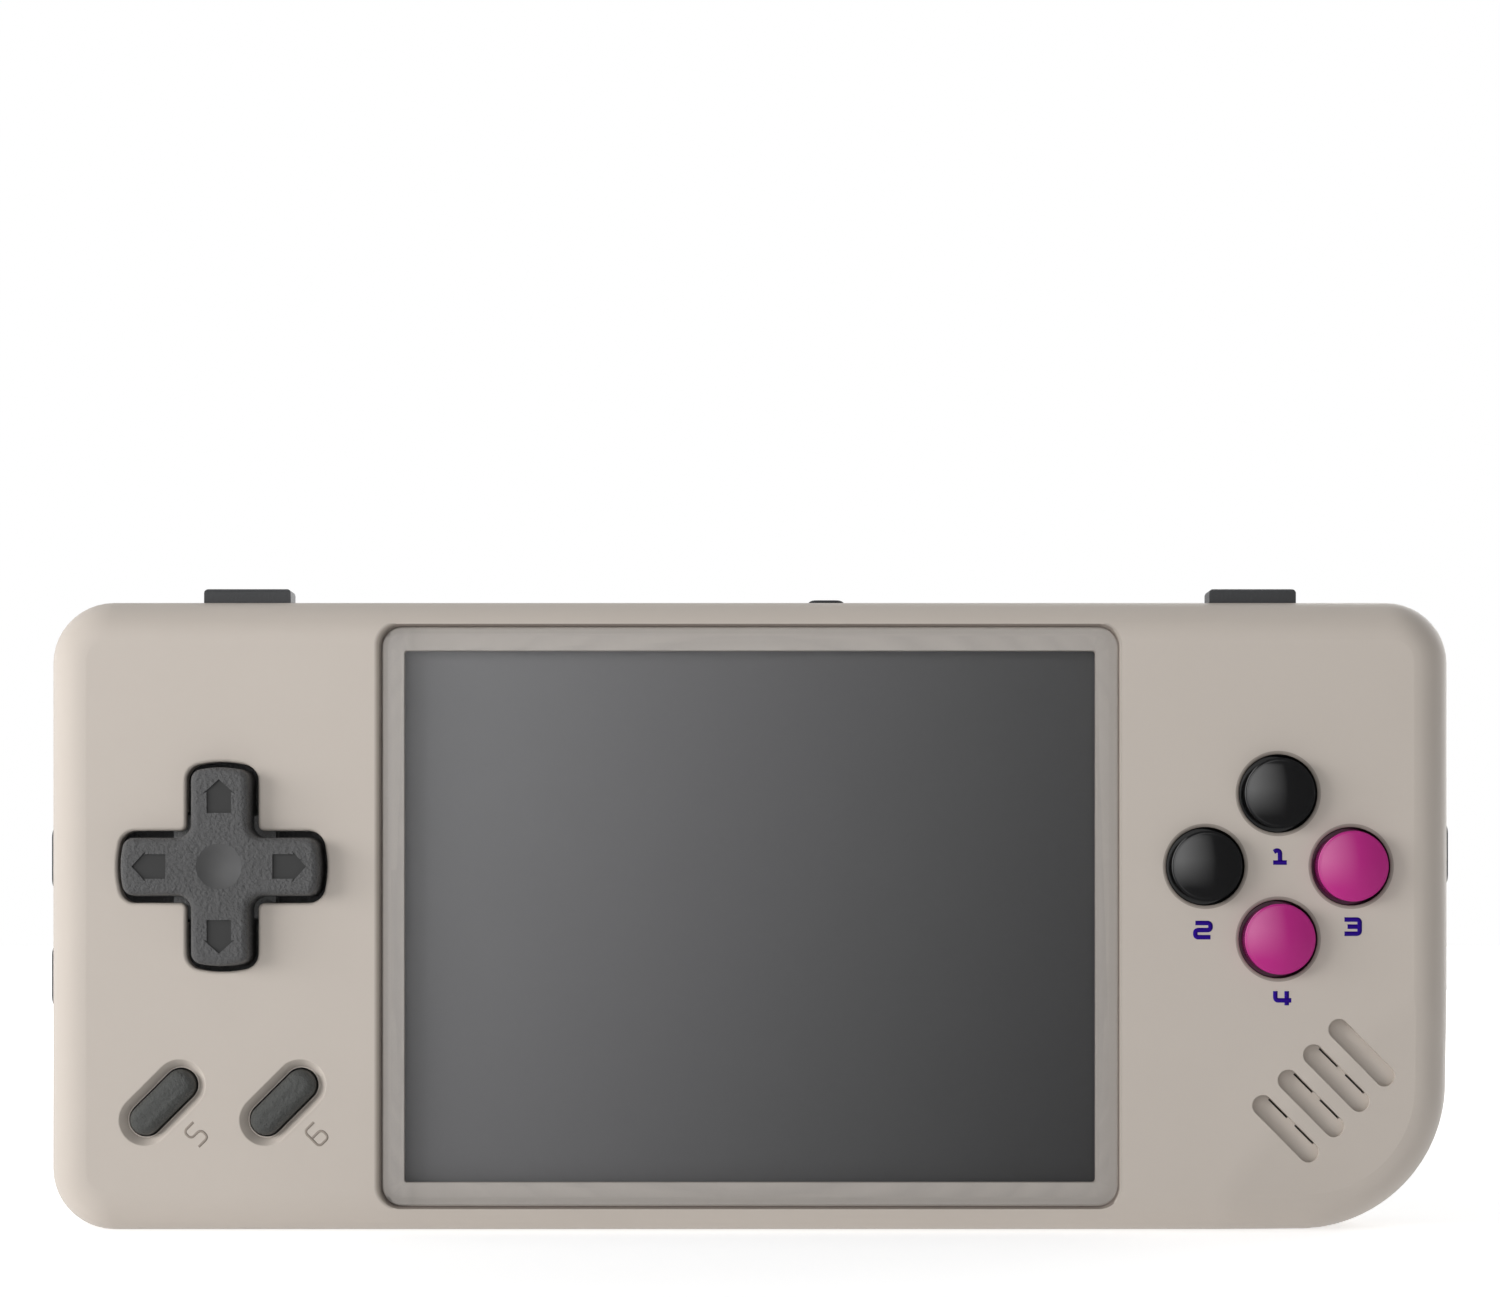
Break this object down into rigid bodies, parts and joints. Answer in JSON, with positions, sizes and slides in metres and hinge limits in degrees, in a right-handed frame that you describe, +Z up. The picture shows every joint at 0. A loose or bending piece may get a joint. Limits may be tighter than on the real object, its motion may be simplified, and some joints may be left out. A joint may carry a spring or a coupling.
{
  "type": "handheld game console",
  "caption": "Pocket game console: two moulded shells around a screen, a cross pad, round face buttons, pill and shoulder buttons, speaker slots and edge sockets.",
  "frame": {"origin": "centre of the bounding box at its lowest level, under the middle of the lower edge", "axes": "+X to the right along the width, +Z up, +Y from the screen side to the back; stands on its lower edge"},
  "size_m": [0.141, 0.0186, 0.064],
  "materials": {
    "shell": "fine spark-eroded matt",
    "lens": "polished clear acrylic",
    "adhesive": "film",
    "foam": "closed-cell foam",
    "screen": "satin polariser",
    "tray": "pressed sheet",
    "flex": "polyimide film",
    "board": "solder mask",
    "can": "tinned sheet",
    "chip": "moulded epoxy",
    "connector": "moulded nylon",
    "switch": "moulded nylon",
    "battery": "foil pouch",
    "lead": "insulated wire",
    "grey_plastic": "fine grain",
    "black_gloss": "polished",
    "magenta_gloss": "polished",
    "membrane": "silicone",
    "pivot": "moulded acetal",
    "speaker": "satin",
    "socket_steel": "plated sheet",
    "screw": "blackened"
  },
  "bodies": {
    "root": {"front_shell": "shell", "rear_shell": "shell", "screen_lens": "lens", "lens_adhesive": "adhesive", "screen_gasket": "foam", "lcd_panel": "screen", "lcd_tray": "tray", "lcd_flex": "flex", "main_board": "board", "shield_can": "can", "board_chips": "chip", "board_connectors": "connector", "edge_switches": "switch", "battery": "battery", "battery_tape": "adhesive", "battery_plug": "connector", "battery_leads": "lead", "d_pad_membrane": "membrane", "face_button_membrane": "membrane", "option_membrane": "membrane", "speaker": "speaker", "speaker_gasket": "foam", "usb_socket": "socket_steel", "video_socket": "socket_steel", "headphone_jack": "connector", "card_slot_system": "socket_steel", "card_slot_games": "socket_steel", "case_screws": "screw", "board_screws": "screw"},
    "face_button_top": {"face_button_top": "black_gloss"},
    "face_button_left": {"face_button_left": "black_gloss"},
    "face_button_right": {"face_button_right": "magenta_gloss"},
    "face_button_bottom": {"face_button_bottom": "magenta_gloss"},
    "option_button_left": {"option_button_left": "grey_plastic"},
    "option_button_right": {"option_button_right": "grey_plastic"},
    "shoulder_left_front": {"shoulder_left_front": "grey_plastic"},
    "shoulder_left_rear": {"shoulder_left_rear": "grey_plastic"},
    "shoulder_right_front": {"shoulder_right_front": "grey_plastic"},
    "shoulder_right_rear": {"shoulder_right_rear": "grey_plastic"},
    "menu_button": {"menu_button": "grey_plastic"},
    "volume_up_button": {"volume_up_button": "grey_plastic"},
    "volume_down_button": {"volume_down_button": "grey_plastic"},
    "power_button": {"power_button": "grey_plastic"},
    "d_pad_pivot": {"d_pad_pivot": "pivot"},
    "d_pad": {"d_pad": "grey_plastic"}
  },
  "joints": [
    {"name": "d_pad_rock_up_down", "type": "hinge", "parent": "root", "child": "d_pad_pivot", "pos_m": [-0.05206, -0.0036, 0.0361], "axis": [1, 0, 0], "range_deg": [-4, 4], "stiffness_Nm_per_rad": 0.1, "deforming": ["d_pad_membrane"]},
    {"name": "d_pad_rock_left_right", "type": "hinge", "parent": "d_pad_pivot", "child": "d_pad", "pos_m": [-0.05206, -0.0036, 0.0361], "axis": [0, 0, 1], "range_deg": [-4, 4], "stiffness_Nm_per_rad": 0.1, "deforming": ["d_pad_membrane"]},
    {"name": "face_button_top_press", "type": "slide", "parent": "root", "child": "face_button_top", "axis": [0, 1, 0], "range_m": [0, 0.0011], "stiffness_N_per_m": 500, "deforming": ["face_button_membrane"]},
    {"name": "face_button_left_press", "type": "slide", "parent": "root", "child": "face_button_left", "axis": [0, 1, 0], "range_m": [0, 0.0011], "stiffness_N_per_m": 500, "deforming": ["face_button_membrane"]},
    {"name": "face_button_right_press", "type": "slide", "parent": "root", "child": "face_button_right", "axis": [0, 1, 0], "range_m": [0, 0.0011], "stiffness_N_per_m": 500, "deforming": ["face_button_membrane"]},
    {"name": "face_button_bottom_press", "type": "slide", "parent": "root", "child": "face_button_bottom", "axis": [0, 1, 0], "range_m": [0, 0.0011], "stiffness_N_per_m": 500, "deforming": ["face_button_membrane"]},
    {"name": "option_button_left_press", "type": "slide", "parent": "root", "child": "option_button_left", "axis": [0, 1, 0], "range_m": [0, 0.0007], "stiffness_N_per_m": 500, "deforming": ["option_membrane"]},
    {"name": "option_button_right_press", "type": "slide", "parent": "root", "child": "option_button_right", "axis": [0, 1, 0], "range_m": [0, 0.0007], "stiffness_N_per_m": 500, "deforming": ["option_membrane"]},
    {"name": "shoulder_left_front_press", "type": "slide", "parent": "root", "child": "shoulder_left_front", "axis": [0, 0, -1], "range_m": [0, 0.0006], "stiffness_N_per_m": 1500},
    {"name": "shoulder_left_rear_press", "type": "slide", "parent": "root", "child": "shoulder_left_rear", "axis": [0, 0, -1], "range_m": [0, 0.0006], "stiffness_N_per_m": 1500},
    {"name": "shoulder_right_front_press", "type": "slide", "parent": "root", "child": "shoulder_right_front", "axis": [0, 0, -1], "range_m": [0, 0.0006], "stiffness_N_per_m": 1500},
    {"name": "shoulder_right_rear_press", "type": "slide", "parent": "root", "child": "shoulder_right_rear", "axis": [0, 0, -1], "range_m": [0, 0.0006], "stiffness_N_per_m": 1500},
    {"name": "menu_button_press", "type": "slide", "parent": "root", "child": "menu_button", "axis": [0, 0, -1], "range_m": [0, 0.0003], "stiffness_N_per_m": 2000},
    {"name": "volume_up_button_press", "type": "slide", "parent": "root", "child": "volume_up_button", "axis": [1, 0, 0], "range_m": [0, 0.0003], "stiffness_N_per_m": 2000},
    {"name": "volume_down_button_press", "type": "slide", "parent": "root", "child": "volume_down_button", "axis": [1, 0, 0], "range_m": [0, 0.0003], "stiffness_N_per_m": 2000},
    {"name": "power_button_press", "type": "slide", "parent": "root", "child": "power_button", "axis": [-1, 0, 0], "range_m": [0, 0.0003], "stiffness_N_per_m": 2000}
  ]
}
